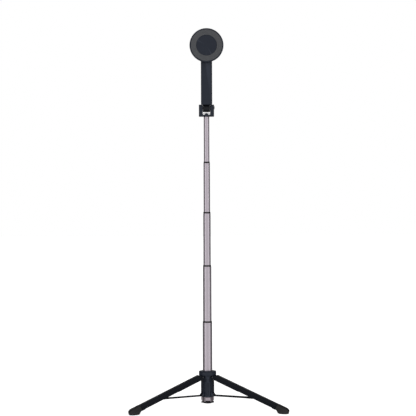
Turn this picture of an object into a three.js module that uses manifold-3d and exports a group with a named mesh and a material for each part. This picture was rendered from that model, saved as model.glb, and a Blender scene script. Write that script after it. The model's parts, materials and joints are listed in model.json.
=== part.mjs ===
// A telescopic phone stick that stands on three folding legs and holds a phone on a magnetic disc.
// Millimetres, +Z up. The origin is on the stick's axis, at the bottom face of the end cap.
// The disc faces -Y. Angles about the stick are counted from +X, anticlockwise seen from above.

import * as THREE from "three";
import { mergeVertices } from "three/addons/utils/BufferGeometryUtils.js";
import Module from "manifold-3d";

const wasm = await Module();
wasm.setup();

// ---- Driving dimensions: millimetres and degrees ----

const GAP = 0.3; // between pieces that touch
const FIT = 0.1; // radial play of a sliding or pressed sleeve
const ROUND = 24; // flats round a tube or a disc
const SMALL_ROUND = 12; // flats round a pin or a screw
const FLOOR = -9.8; // the surface that the feet stand on

const TUBE_WALL = 0.35;
// From the thinnest tube to the widest: outer radius, and the height of its lower and upper end.
const TUBES = [
  { radius: 4.6, bottom: 382.5, top: 474.6 },
  { radius: 5.3, bottom: 299, top: 397.4 },
  { radius: 6.1, bottom: 210, top: 314.1 },
  { radius: 7.0, bottom: 115, top: 225.9 },
  { radius: 7.85, bottom: 4, top: 133 },
];
const COLLAR_HEIGHT = 2.5;
const BUSH = { flange: 4, spigot: 3, wall: 0.7 };

const CORE_BORE = 8.0; // of the sleeve, the ring and the hub round tube_5
const HUB = { radius: 14.4, bottom: 45.6, top: 53.9, crown: 9.6, chamfer: 0.8 };
const RIBS = [-90, 30, 150];
const SLEEVE = { bottom: 10.2, top: 45.3, core: 8.7, rib: 11.3, ribHalf: 4.0 };
const TRIM = { bottom: 2.5, top: 9.9, core: 8.6, rib: 11.0, ribHalf: 3.9, foot: 9.0, slopeTop: 5.0 };
const CAP = { bottom: 0, top: 2.2, core: 8.3, rib: 10.9, ribHalf: 4.4, spigot: 7.6, spigotTop: 3.6 };
const WAIST = { from: 34.5, narrowAt: 41, half: 2.4, topHalf: 3.6, shoulder: 2 };
const RECESS = { bottom: 12.4, top: 34, half: 2.15, floor: 10.4 };

const LEGS = [-150, -30, 90];
const LEG_SLOPE = 20.6; // below the horizontal, legs spread
const LEG_PIVOT = { radius: 11.8, height: 43.3 };
const LEG = { half: 6.0, wall: 1.4, below: 3.2, above: 5.4, skin: 1.2, length: 124.3, taper: 0.06 };
const LEG_CROWN = { edge: 1.8, drop: 0.2, roll: 0.4 }; // how the channel's top rolls over into its sides
const LEG_EAR = { radius: 2.0, skinFrom: 4.0, ramp: 8, notch: 2.2, startAngle: 105, endAngle: 250 };
const RAIL = { from: 52, to: 118, lift: 0.5 }; // where the runner slides, the walls are shallower
const TANG = { from: 116, to: 135, half: 4.0, below: 1.5, above: 1.9 };
const BOOT = { from: 124.6, to: 146.6, half: 6.6, below: 7.4, above: 6.2, socketTo: 135.4 };
const BOOT_HEEL = { from: 126.4, to: 131, above: 4.0 }; // where the boot's underside drops to its sole
const BOOT_ROUND = { toe: 6.5, sole: 3, side: 2.4, sideDrop: 2 };
const LEG_PIN = { radius: 0.8, hole: 1.0, half: 5.8 };
const HUB_LUG = { half: 4.3, radius: 1.7, inner: 9.1 };

const STRUT_PIVOT = { radius: 12.0, height: 12.8 };
const STRUT = { length: 78.1, half: 2.5, thick: 2.4, eye: 1.6, hole: 1.1, outerHole: 1.3 };
const STRUT_PIN = { radius: 0.8, half: 4.0 };
const STRUT_LUG = { from: 2.8, to: 4.2, radius: 1.6, gussetTop: 20 };
const RUNNER = { axle: 1.0, from: 2.9, to: 4.3, halfLength: 3.5, halfHeight: 1.6 };

const TILT = 489.7; // height of the neck's pin
const YOKE = { half: 12.5, depth: 6.5, bottom: 474.9, slotHalf: 6.25, slotFloor: 477.5, crown: 5.0 };
const YOKE_FLAT = 1.5; // half of the flat on top of an ear
const YOKE_SPIGOT = { radius: 4.0, bottom: 462 };
const TILT_PIN = { radius: 1.6, hole: 1.9, from: -12.2, to: 12.6, head: 3.0, headTo: 13.6 };
const TILT_NUT = { radius: 3.0, pocket: 3.3, from: -12.4, to: -10.4, floor: -10.1 };
const SPRING = { half: 5.9, foot: 477.8, peak: 482.0, thick: 0.7, depth: 3.5 };

const KNUCKLE = { radius: 7.4, half: 5.9, webStart: 5.2, webLow: 5.8, webHigh: 17 };
// Across the neck, distances in front of the stick's axis; along it, heights above the tilt pin.
const NECK = { from: 3.9, toHead: 101.5, corner: 1.6 };
const NECK_FRAME = { half: 8.8, back: 9.0, front: 11.6 };
const NECK_COVER = { half: 9.3, back: 11.9, front: 15.5, edge: 1.1 };
const NECK_SCREW = { heights: [22, 72], radius: 0.9, hole: 1.2, head: 1.9, sink: 2.2, headThick: 0.9 };
const NECK_SCREW_TIP = 1.5; // behind the cover's front face
const NECK_BORE = 4.6;

// Heights over the disc's back plane, which is this far in front of the stick's axis.
const HEAD_BACK = 16.0;
const HEAD_RADIUS = 28;
const BACK_SHELL = { wall: 1.5, rim: 26.4, height: 4.4 };
const FRONT_SHELL = { from: 4.7, plate: 5.5, top: 6.7, padIn: 16.9, padOut: 26.1, padFloor: 6.1 };
const PAD = { inner: 17.2, outer: 25.8, from: 6.2, top: 7.1 };
const SHUNT = { inner: 12, outer: 25.8, from: 1.8, to: 2.8 };
const MAGNETS = { count: 6, inner: 19, outer: 25.4, from: 3.1, to: 5.1, spread: 52 };
const STUD = { radius: 4.2, flange: 8.0, flangeFrom: 1.8, flangeTo: 3.2, back: -7.2, hole: 1.9 };
const WASHER = { inner: 4.6, outer: 7.2, from: -7.9, to: -7.3 };
const SWIVEL_SCREW = { radius: 1.6, head: 6.0, from: -9.6, headTo: -8.2, to: -3.0 };

// ---- Materials ----

function finish(color, roughness, metalness) {
  return new THREE.MeshStandardMaterial({ color, roughness, metalness });
}

const SATIN_TUBE = finish(0xb5aab3, 0.35, 0.9);
const BLACK_PLASTIC = finish(0x17181b, 0.45, 0);
const DARK_SHELL = finish(0x26282d, 0.5, 0);
const DARK_LEG = finish(0x2b2f3a, 0.4, 0.2);
const SILVER_TRIM = finish(0x9c969c, 0.35, 0.8);
const STEEL = finish(0xc4c6ca, 0.3, 1);
const NYLON = finish(0x101113, 0.6, 0);
const RUBBER = finish(0x0c0c0e, 0.85, 0);
const SILICONE = finish(0x3a3c40, 0.8, 0);
const MAGNET = finish(0x8c8f94, 0.3, 1);

// ---- Solids: joining, cutting and the few basic forms ----

function toSolid(geometry) {
  const bare = geometry.clone();
  bare.deleteAttribute("normal");
  bare.deleteAttribute("uv");
  const merged = mergeVertices(bare, 1e-4);
  const vertProperties = new Float32Array(merged.attributes.position.array);
  const triVerts = new Uint32Array(merged.index.array);
  return new wasm.Manifold(new wasm.Mesh({ numProp: 3, vertProperties, triVerts }));
}

function toGeometry(solid) {
  const mesh = solid.getMesh();
  const geometry = new THREE.BufferGeometry();
  geometry.setAttribute("position", new THREE.BufferAttribute(mesh.vertProperties, 3));
  geometry.setIndex(new THREE.BufferAttribute(mesh.triVerts, 1));
  return geometry;
}

function join(first, ...others) {
  return toGeometry(others.reduce((sum, other) => sum.add(toSolid(other)), toSolid(first)));
}

function cut(first, ...others) {
  return toGeometry(others.reduce((rest, other) => rest.subtract(toSolid(other)), toSolid(first)));
}

function common(first, ...others) {
  return toGeometry(others.reduce((rest, other) => rest.intersect(toSolid(other)), toSolid(first)));
}

function degrees(angle) {
  return THREE.MathUtils.degToRad(angle);
}

// A body of revolution about +Z from a closed outline of [radius, height] points, anticlockwise.
function turned(outline, segments = ROUND) {
  const points = outline.map(([radius, height]) => new THREE.Vector2(radius, height));
  points.push(points[0].clone());
  return new THREE.LatheGeometry(points, segments).rotateX(Math.PI / 2);
}

function tube(inner, outer, bottom, top, segments = ROUND) {
  return turned([[inner, bottom], [outer, bottom], [outer, top], [inner, top]], segments);
}

function rod(radius, bottom, top, segments = SMALL_ROUND) {
  const cylinder = new THREE.CylinderGeometry(radius, radius, top - bottom, segments);
  return cylinder.rotateX(Math.PI / 2).translate(0, 0, (top + bottom) / 2);
}

function block(x, y, z) {
  const [width, depth, height] = [x, y, z].map(([low, high]) => high - low);
  const box = new THREE.BoxGeometry(width, depth, height);
  return box.translate((x[0] + x[1]) / 2, (y[0] + y[1]) / 2, (z[0] + z[1]) / 2);
}

function polygon(points) {
  return new THREE.Shape(points.map(([x, y]) => new THREE.Vector2(x, y)));
}

// A shape drawn in plan, raised from bottom to top.
function raised(shape, bottom, top, curveSegments = 6) {
  const options = { depth: top - bottom, bevelEnabled: false, curveSegments };
  return new THREE.ExtrudeGeometry(shape, options).translate(0, 0, bottom);
}

// A shape drawn in the XZ plane, spread to both sides of it along Y.
function acrossY(shape, half, curveSegments = 6) {
  return raised(shape, -half, half, curveSegments).rotateX(Math.PI / 2);
}

// A shape drawn in the YZ plane, running along +X.
function alongX(shape, from, to, curveSegments = 6) {
  return raised(shape, from, to, curveSegments).rotateX(Math.PI / 2).rotateZ(Math.PI / 2);
}

function rodAlongY(radius, half, segments = SMALL_ROUND) {
  return rod(radius, -half, half, segments).rotateX(Math.PI / 2);
}

function rodAlongX(radius, from, to, segments = SMALL_ROUND) {
  return rod(radius, from, to, segments).rotateY(Math.PI / 2);
}

// Turns a piece that was made with its front along +Z so that its front looks along -Y.
function facingFront(geometry) {
  return geometry.rotateX(Math.PI / 2);
}

// ---- Telescopic stick ----

function collar(outerTube, innerTube) {
  const bottom = outerTube.top + FIT;
  const radius = (outerTube.radius + innerTube.radius) / 2 + 2 * FIT;
  return tube(innerTube.radius + FIT, radius, bottom, bottom + COLLAR_HEIGHT);
}

function guideBush(innerTube, outerTube) {
  const flange = outerTube.radius - TUBE_WALL - FIT;
  const spigot = innerTube.radius - TUBE_WALL - FIT;
  const bore = spigot - BUSH.wall;
  const shoulder = innerTube.bottom - FIT;
  const bottom = innerTube.bottom - BUSH.flange;
  const top = innerTube.bottom + BUSH.spigot;
  return turned([
    [bore, bottom],
    [flange, bottom],
    [flange, shoulder],
    [spigot, shoulder],
    [spigot, top],
    [bore, top],
  ]);
}

// ---- Barrel and hub ----

// The barrel's plan: a round core with a rib for each gap between the legs.
function barrelPlan({ core, rib, ribHalf }) {
  const shape = new THREE.Shape();
  const outer = Math.asin(ribHalf / rib);
  const inner = Math.asin(ribHalf / core);
  const step = (2 * Math.PI) / RIBS.length;
  RIBS.map(degrees).forEach((angle) => {
    shape.absarc(0, 0, rib, angle - outer, angle + outer);
    shape.absarc(0, 0, core, angle + inner, angle + step - inner);
  });
  return shape;
}

// The bore that runs through everything round tube_5.
function coreBore() {
  return rod(CORE_BORE, CAP.bottom, HUB.top + 1, ROUND);
}

// What is cut off one side of a rib to leave its waist below the hub.
function waistCut(side) {
  const { ribHalf, core, rib, top } = SLEEVE;
  const shape = new THREE.Shape();
  shape.moveTo(side * (ribHalf + 1), WAIST.from);
  shape.lineTo(side * ribHalf, WAIST.from);
  const shoulder = WAIST.from + WAIST.shoulder;
  shape.quadraticCurveTo(side * WAIST.half, shoulder, side * WAIST.half, WAIST.narrowAt);
  shape.quadraticCurveTo(side * WAIST.half, top - 1, side * WAIST.topHalf, top + 1);
  shape.lineTo(side * (ribHalf + 1), top + 1);
  const half = (rib + 1 - core) / 2;
  return acrossY(shape, half).translate(0, -core - half - FIT, 0);
}

// The long round-ended recess in a rib's face.
function ribRecess() {
  const shape = new THREE.Shape();
  shape.absarc(0, RECESS.top - RECESS.half, RECESS.half, 0, Math.PI);
  shape.absarc(0, RECESS.bottom + RECESS.half, RECESS.half, Math.PI, 2 * Math.PI);
  return acrossY(shape, 1).translate(0, -RECESS.floor - 1, 0);
}

// One of the two cheeks that hold a strut's inner end, for a leg along +X.
function strutCheek(side) {
  const shape = new THREE.Shape();
  shape.moveTo(SLEEVE.core - 0.5, STRUT_LUG.gussetTop);
  shape.lineTo(SLEEVE.core - 0.5, STRUT_PIVOT.height - STRUT_LUG.radius);
  shape.absarc(STRUT_PIVOT.radius, STRUT_PIVOT.height, STRUT_LUG.radius, -Math.PI / 2, Math.PI / 6);
  const half = (STRUT_LUG.to - STRUT_LUG.from) / 2;
  return acrossY(shape, half).translate(0, side * (STRUT_LUG.from + half), 0);
}

function pinBore(pivot, radius) {
  return rodAlongY(radius, LEG.half * 2).translate(pivot.radius, 0, pivot.height);
}

function barrelSleeve() {
  const additions = [];
  const removals = [];
  LEGS.map(degrees).forEach((angle) => {
    additions.push(strutCheek(1).rotateZ(angle), strutCheek(-1).rotateZ(angle));
    removals.push(pinBore(STRUT_PIVOT, STRUT.hole).rotateZ(angle));
  });
  RIBS.map((angle) => degrees(angle + 90)).forEach((angle) => {
    removals.push(waistCut(1).rotateZ(angle), waistCut(-1).rotateZ(angle), ribRecess().rotateZ(angle));
  });
  const body = raised(barrelPlan(SLEEVE), SLEEVE.bottom, SLEEVE.top, 4);
  return cut(join(body, ...additions), ...removals, coreBore());
}

// The silver section, drawn in at its lower end.
function trimRing() {
  const { bottom, top, rib, foot, slopeTop } = TRIM;
  const slope = turned([[0, bottom], [foot, bottom], [rib + FIT, slopeTop], [rib + FIT, top], [0, top]]);
  return cut(common(raised(barrelPlan(TRIM), bottom, top, 4), slope), coreBore());
}

function endCap() {
  const plate = raised(barrelPlan(CAP), CAP.bottom, CAP.top, 4);
  return join(plate, rod(CAP.spigot, CAP.top - 1, CAP.spigotTop, ROUND));
}

function hubLug() {
  const { radius, height } = LEG_PIVOT;
  const shape = new THREE.Shape();
  shape.moveTo(radius + HUB_LUG.radius, HUB.bottom + 1);
  shape.lineTo(HUB_LUG.inner, HUB.bottom + 1);
  shape.lineTo(HUB_LUG.inner, height);
  shape.absarc(radius, height, HUB_LUG.radius, Math.PI, 2 * Math.PI);
  return acrossY(shape, HUB_LUG.half);
}

function hub() {
  const { radius, bottom, top, crown, chamfer } = HUB;
  const flange = turned([
    [CORE_BORE, bottom],
    [radius - chamfer, bottom],
    [radius, bottom + chamfer],
    [radius, top - 2 * chamfer],
    [radius - chamfer, top - chamfer],
    [crown, top],
    [CORE_BORE, top],
  ]);
  const angles = LEGS.map(degrees);
  const lugs = angles.map((angle) => hubLug().rotateZ(angle));
  const bores = angles.map((angle) => pinBore(LEG_PIVOT, LEG_PIN.hole).rotateZ(angle));
  return cut(join(flange, ...lugs), ...bores);
}

// ---- Legs, in the leg's own frame: +X outward along the leg from its pin, +Z its upper face ----

function legChannel() {
  const { half, wall, below, above, skin } = LEG;
  const { edge, drop, roll } = LEG_CROWN;
  const shape = new THREE.Shape();
  shape.moveTo(-half, -below);
  shape.lineTo(wall - half, -below);
  shape.lineTo(wall - half, above - skin);
  shape.lineTo(half - wall, above - skin);
  shape.lineTo(half - wall, -below);
  shape.lineTo(half, -below);
  shape.lineTo(half, above - edge);
  shape.quadraticCurveTo(half, above - roll, half - edge, above - drop);
  shape.quadraticCurveTo(0, above + drop, edge - half, above - drop);
  shape.quadraticCurveTo(-half, above - roll, -half, above - edge);
  const channel = alongX(shape, -LEG_EAR.radius, LEG.length, 4);
  const position = channel.attributes.position;
  for (let i = 0; i < position.count; i += 1) {
    const share = Math.max(position.getX(i), 0) / LEG.length;
    position.setZ(i, position.getZ(i) * (1 + LEG.taper * share));
  }
  return channel;
}

// The leg's outline from the side, with the round ears at its pin.
function legProfile() {
  const { radius, skinFrom, ramp, notch, startAngle, endAngle } = LEG_EAR;
  const reach = LEG.length + 1;
  const shape = new THREE.Shape();
  shape.absarc(0, 0, radius, degrees(startAngle), degrees(endAngle));
  shape.lineTo(skinFrom, -LEG.below);
  shape.lineTo(RAIL.from, -LEG.below - 1);
  shape.lineTo(reach, -LEG.below - 1);
  shape.lineTo(reach, LEG.above + 1);
  shape.lineTo(skinFrom + ramp, LEG.above + 1);
  shape.lineTo(skinFrom, LEG.above - LEG_CROWN.drop);
  shape.lineTo(notch, notch);
  return acrossY(shape, LEG.half + 1);
}

function leg() {
  const inner = LEG.half - LEG.wall;
  const depth = LEG.below * (1 + LEG.taper);
  const channel = common(legChannel(), legProfile());
  const tang = block([TANG.from, TANG.to], [-TANG.half, TANG.half], [-TANG.below, TANG.above]);
  const web = block([TANG.from, LEG.length], [-inner - 0.5, inner + 0.5], [-TANG.below, LEG.above - 0.5]);
  const earSlot = block([-4, LEG_EAR.skinFrom], [-inner, inner], [-5, LEG.above + 1]);
  const wide = LEG.half + 1;
  const rail = block([RAIL.from, RAIL.to], [-wide, wide], [-depth - 1, RAIL.lift - LEG.below]);
  return cut(join(channel, tang, web), earSlot, rail, rodAlongY(LEG_PIN.hole, wide));
}

function boot() {
  const { from, to, half, below, above, socketTo } = BOOT;
  const { toe, sole, side: sideRound, sideDrop } = BOOT_ROUND;
  const plan = new THREE.Shape();
  plan.moveTo(from, -half);
  plan.lineTo(to - half, -half);
  plan.absarc(to - half, 0, half, -Math.PI / 2, Math.PI / 2);
  plan.lineTo(from, half);
  const side = new THREE.Shape();
  side.moveTo(from, above);
  side.lineTo(from, -BOOT_HEEL.above);
  side.lineTo(BOOT_HEEL.from, -BOOT_HEEL.above);
  side.quadraticCurveTo(BOOT_HEEL.from + 1, -below, BOOT_HEEL.to, -below);
  side.lineTo(to - sole, -below);
  side.quadraticCurveTo(to, -below, to, -1);
  side.quadraticCurveTo(to, above, to - toe, above);
  const section = new THREE.Shape();
  section.moveTo(-half, -below);
  section.lineTo(half, -below);
  section.lineTo(half, above - sideDrop);
  section.quadraticCurveTo(half, above, half - sideRound, above);
  section.lineTo(sideRound - half, above);
  section.quadraticCurveTo(-half, above, -half, above - sideDrop);
  const form = common(raised(plan, -below, above), acrossY(side, half), alongX(section, from, to, 5));
  const socket = block(
    [from - 1, socketTo],
    [-TANG.half - GAP, TANG.half + GAP],
    [-TANG.below - GAP, TANG.above + GAP],
  );
  return cut(form, socket, groundUnderLeg());
}

// Everything below the floor, as it lies in a leg's own frame.
function groundUnderLeg() {
  const reach = 2 * BOOT.to;
  const ground = block([0, reach], [-LEG.half * 2, LEG.half * 2], [FLOOR - BOOT.to, FLOOR]);
  ground.translate(-LEG_PIVOT.radius, 0, -LEG_PIVOT.height);
  return ground.rotateY(-degrees(LEG_SLOPE));
}

// ---- Struts and runners, from the strut's inner pin along +X ----

function strut() {
  const { length, half, thick, eye, hole, outerHole } = STRUT;
  const neck = Math.asin(thick / 2 / eye); // where an eye runs into the bar
  const shape = new THREE.Shape();
  shape.absarc(0, 0, eye, neck, 2 * Math.PI - neck);
  shape.absarc(length, 0, eye, neck - Math.PI, Math.PI - neck);
  const bar = acrossY(shape, half, 10);
  return cut(bar, rodAlongY(hole, half + 1), rodAlongY(outerHole, half + 1).translate(length, 0, 0));
}

// Two sliding shoes on one axle, which passes through the strut's outer eye.
function runner() {
  const { axle, from, to, halfLength, halfHeight } = RUNNER;
  const shoes = [-1, 1].map((side) => {
    const sides = [side * from, side * to].sort((a, b) => a - b);
    return block([-halfLength, halfLength], sides, [-halfHeight, halfHeight]);
  });
  return join(rodAlongY(axle, to - GAP), ...shoes);
}

// ---- Yoke ----

function yoke() {
  const { half, depth, bottom, slotHalf, slotFloor, crown } = YOKE;
  const side = new THREE.Shape();
  side.moveTo(-depth, bottom);
  side.lineTo(depth, bottom);
  side.lineTo(depth, TILT);
  side.quadraticCurveTo(depth, TILT + crown, YOKE_FLAT, TILT + crown);
  side.lineTo(-YOKE_FLAT, TILT + crown);
  side.quadraticCurveTo(-depth, TILT + crown, -depth, TILT);
  const body = alongX(side, -half, half);
  const spigot = rod(YOKE_SPIGOT.radius, YOKE_SPIGOT.bottom, bottom + 1, ROUND);
  const slot = block([-slotHalf, slotHalf], [-depth - 1, depth + 1], [slotFloor, TILT + crown + 1]);
  const bore = rodAlongX(TILT_PIN.hole, -half - 1, half + 1).translate(0, 0, TILT);
  const pocket = rodAlongX(TILT_NUT.pocket, -half - 1, TILT_NUT.floor, 6).translate(0, 0, TILT);
  return cut(join(body, spigot), slot, bore, pocket);
}

function tiltPin() {
  const { radius, from, to, head, headTo } = TILT_PIN;
  const dome = (to + headTo + GAP) / 2;
  const pin = turned([
    [0, from],
    [radius, from],
    [radius, to + GAP],
    [head, to + GAP],
    [head, dome],
    [head * 0.6, headTo],
    [0, headTo],
  ], SMALL_ROUND);
  return pin.rotateY(Math.PI / 2).translate(0, 0, TILT);
}

function tiltNut() {
  const { radius, from, to } = TILT_NUT;
  const nut = cut(rodAlongX(radius, from, to, 6), rodAlongX(TILT_PIN.hole, from - 1, to + 1));
  return nut.translate(0, 0, TILT);
}

// A leaf spring arched under the knuckle.
function detentSpring() {
  const { half, foot, peak, thick, depth } = SPRING;
  const shape = new THREE.Shape();
  shape.moveTo(-half, foot);
  shape.quadraticCurveTo(0, 2 * peak - foot, half, foot);
  shape.lineTo(half - thick, foot);
  shape.quadraticCurveTo(0, 2 * (peak - thick) - foot, thick - half, foot);
  return acrossY(shape, depth, 12);
}

// ---- Neck ----

function neckFront(half) {
  const bottom = TILT + NECK.from;
  const shape = new THREE.Shape();
  shape.moveTo(-half, bottom + NECK.corner);
  shape.quadraticCurveTo(-half, bottom, NECK.corner - half, bottom);
  shape.lineTo(half - NECK.corner, bottom);
  shape.quadraticCurveTo(half, bottom, half, bottom + NECK.corner);
  shape.absarc(0, TILT + NECK.toHead, half, 0, Math.PI);
  return shape;
}

// A shape drawn in the XZ plane, between two distances in front of the stick's axis.
function standing(shape, back, front) {
  const half = (front - back) / 2;
  return acrossY(shape, half).translate(0, -back - half, 0);
}

function screwBore(radius, height, back, front) {
  return rod(radius, back, front).rotateX(Math.PI / 2).translate(0, 0, TILT + height);
}

function neckFrame() {
  const { half, back, front } = NECK_FRAME;
  const plate = standing(neckFront(half), back, front);
  const knuckle = rodAlongX(KNUCKLE.radius, -KNUCKLE.half, KNUCKLE.half, ROUND);
  const { webStart, webLow, webHigh } = KNUCKLE;
  const web = polygon([
    [0, 0],
    [-webStart, webStart],
    [-back - 0.4, webLow],
    [-back - 0.4, webHigh],
    [0, KNUCKLE.radius - FIT],
  ]);
  const pinHole = rodAlongX(TILT_PIN.hole, -KNUCKLE.half - 1, KNUCKLE.half + 1).translate(0, 0, TILT);
  const hinge = join(knuckle, alongX(web, -KNUCKLE.half, KNUCKLE.half)).translate(0, 0, TILT);
  const holes = NECK_SCREW.heights.flatMap((height) => [
    screwBore(NECK_SCREW.hole, height, back - 1, front + 1),
    screwBore(NECK_SCREW.sink, height, back - 1, back + NECK_SCREW.headThick + GAP),
  ]);
  const headBore = screwBore(NECK_BORE, NECK.toHead, back - 1, front + 1);
  return cut(join(plate, hinge), ...holes, headBore, pinHole);
}

function neckCover() {
  const { half, back, front, edge } = NECK_COVER;
  const options = {
    depth: front - back - 2 * edge,
    bevelThickness: edge,
    bevelSize: edge,
    bevelOffset: -edge,
    bevelSegments: 3,
    curveSegments: 8,
  };
  const slab = new THREE.ExtrudeGeometry(neckFront(half), options);
  const body = slab.rotateX(Math.PI / 2).translate(0, -back - edge, 0);
  const holes = NECK_SCREW.heights.map((height) => screwBore(NECK_SCREW.hole, height, back - 1, front - 1));
  return cut(body, ...holes, screwBore(NECK_BORE, NECK.toHead, back - 1, front + 1));
}

function neckScrew(height) {
  const { radius, head, headThick } = NECK_SCREW;
  const start = NECK_FRAME.back + FIT;
  const screw = turned([
    [0, start],
    [head, start],
    [head, start + headThick],
    [radius, start + headThick],
    [radius, NECK_COVER.front - NECK_SCREW_TIP],
    [0, NECK_COVER.front - NECK_SCREW_TIP],
  ], SMALL_ROUND);
  return facingFront(screw).translate(0, 0, TILT + height);
}

// ---- Magnetic head: heights run forward from the disc's back plane ----

function onHead(geometry) {
  return facingFront(geometry).translate(0, -HEAD_BACK, TILT + NECK.toHead);
}

function headBackShell() {
  const { wall, rim, height } = BACK_SHELL;
  return onHead(turned([
    [NECK_BORE, 0],
    [HEAD_RADIUS - 1, 0],
    [HEAD_RADIUS, 1],
    [HEAD_RADIUS, height],
    [rim, height],
    [rim, wall],
    [NECK_BORE, wall],
  ]));
}

function headFrontShell() {
  const { from, plate, top, padIn, padOut, padFloor } = FRONT_SHELL;
  return onHead(turned([
    [0, plate],
    [BACK_SHELL.rim, plate],
    [BACK_SHELL.rim, from],
    [HEAD_RADIUS, from],
    [HEAD_RADIUS, top - 0.6],
    [HEAD_RADIUS - 0.6, top],
    [padOut, top],
    [padOut, padFloor],
    [padIn, padFloor],
    [padIn, top],
    [0, top],
  ]));
}

function magnet(index) {
  const { count, inner, outer, from, to, spread } = MAGNETS;
  const middle = degrees((360 / count) * index);
  const half = degrees(spread / 2);
  const shape = new THREE.Shape();
  shape.absarc(0, 0, outer, middle - half, middle + half);
  shape.absarc(0, 0, inner, middle + half, middle - half, true);
  return onHead(raised(shape, from, to));
}

function swivelStud() {
  const { radius, flange, flangeFrom, flangeTo, back, hole } = STUD;
  const depth = SWIVEL_SCREW.to + GAP;
  return onHead(turned([
    [0, depth],
    [hole, depth],
    [hole, back],
    [radius, back],
    [radius, flangeFrom],
    [flange, flangeFrom],
    [flange, flangeTo],
    [0, flangeTo],
  ]));
}

function swivelScrew() {
  const { radius, head, from, headTo, to } = SWIVEL_SCREW;
  return onHead(turned([
    [0, from],
    [head - 0.6, from],
    [head, from + 0.5],
    [head, headTo],
    [radius, headTo],
    [radius, to],
    [0, to],
  ]));
}

// ---- Assembly ----

const stick = new THREE.Group();

function place(parent, name, geometry, material) {
  const mesh = new THREE.Mesh(geometry, material);
  mesh.name = name;
  parent.add(mesh);
}

TUBES.forEach(({ radius, bottom, top }, index) => {
  place(stick, `tube_${index + 1}`, tube(radius - TUBE_WALL, radius, bottom, top), SATIN_TUBE);
});
TUBES.slice(1).forEach((outer, index) => {
  const inner = TUBES[index];
  place(stick, `collar_${index + 2}`, collar(outer, inner), NYLON);
  place(stick, `guide_bush_${index + 1}`, guideBush(inner, outer), NYLON);
});

place(stick, "hub", hub(), DARK_SHELL);
place(stick, "barrel_sleeve", barrelSleeve(), BLACK_PLASTIC);
place(stick, "trim_ring", trimRing(), SILVER_TRIM);
place(stick, "end_cap", endCap(), BLACK_PLASTIC);

LEGS.forEach((angle, index) => {
  const number = index + 1;
  const side = new THREE.Group();
  side.rotation.z = degrees(angle);
  stick.add(side);

  const legFrame = new THREE.Group();
  legFrame.position.set(LEG_PIVOT.radius, 0, LEG_PIVOT.height);
  legFrame.rotation.y = degrees(LEG_SLOPE);
  side.add(legFrame);
  place(legFrame, `leg_${number}`, leg(), DARK_LEG);
  place(legFrame, `leg_pin_${number}`, rodAlongY(LEG_PIN.radius, LEG_PIN.half), STEEL);
  place(legFrame, `foot_${number}`, boot(), RUBBER);

  const strutFrame = new THREE.Group();
  strutFrame.position.set(STRUT_PIVOT.radius, 0, STRUT_PIVOT.height);
  side.add(strutFrame);
  place(strutFrame, `strut_${number}`, strut(), BLACK_PLASTIC);
  place(strutFrame, `strut_pin_${number}`, rodAlongY(STRUT_PIN.radius, STRUT_PIN.half), STEEL);

  const runnerFrame = new THREE.Group();
  runnerFrame.position.set(STRUT.length, 0, 0);
  runnerFrame.rotation.y = degrees(LEG_SLOPE);
  strutFrame.add(runnerFrame);
  place(runnerFrame, `runner_${number}`, runner(), NYLON);
});

place(stick, "yoke", yoke(), DARK_SHELL);
place(stick, "tilt_pin", tiltPin(), STEEL);
place(stick, "tilt_nut", tiltNut(), STEEL);
place(stick, "detent_spring", detentSpring(), STEEL);

place(stick, "arm_back_frame", neckFrame(), BLACK_PLASTIC);
place(stick, "arm_front_cover", neckCover(), DARK_SHELL);
NECK_SCREW.heights.forEach((height, index) => {
  place(stick, `arm_screw_${index + 1}`, neckScrew(height), STEEL);
});

place(stick, "head_back_shell", headBackShell(), BLACK_PLASTIC);
place(stick, "head_front_shell", headFrontShell(), DARK_SHELL);
place(stick, "magnet_pad", onHead(tube(PAD.inner, PAD.outer, PAD.from, PAD.top)), SILICONE);
place(stick, "steel_shunt", onHead(tube(SHUNT.inner, SHUNT.outer, SHUNT.from, SHUNT.to)), STEEL);
for (let index = 0; index < MAGNETS.count; index += 1) {
  place(stick, `magnet_${index + 1}`, magnet(index), MAGNET);
}
place(stick, "swivel_stud", swivelStud(), STEEL);
place(stick, "swivel_washer", onHead(tube(WASHER.inner, WASHER.outer, WASHER.from, WASHER.to)), NYLON);
place(stick, "swivel_screw", swivelScrew(), STEEL);

export default stick;
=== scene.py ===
# The looks of a telescopic phone stick with a magnetic disc and a folding tripod base.
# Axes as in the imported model: +Z up, the disc faces -Y, the origin under the end cap.
# Solids are drawn in millimetres and become metres when a piece is made of them.

import json
import math

import bmesh
import bpy
from mathutils import Matrix, Vector


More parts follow.
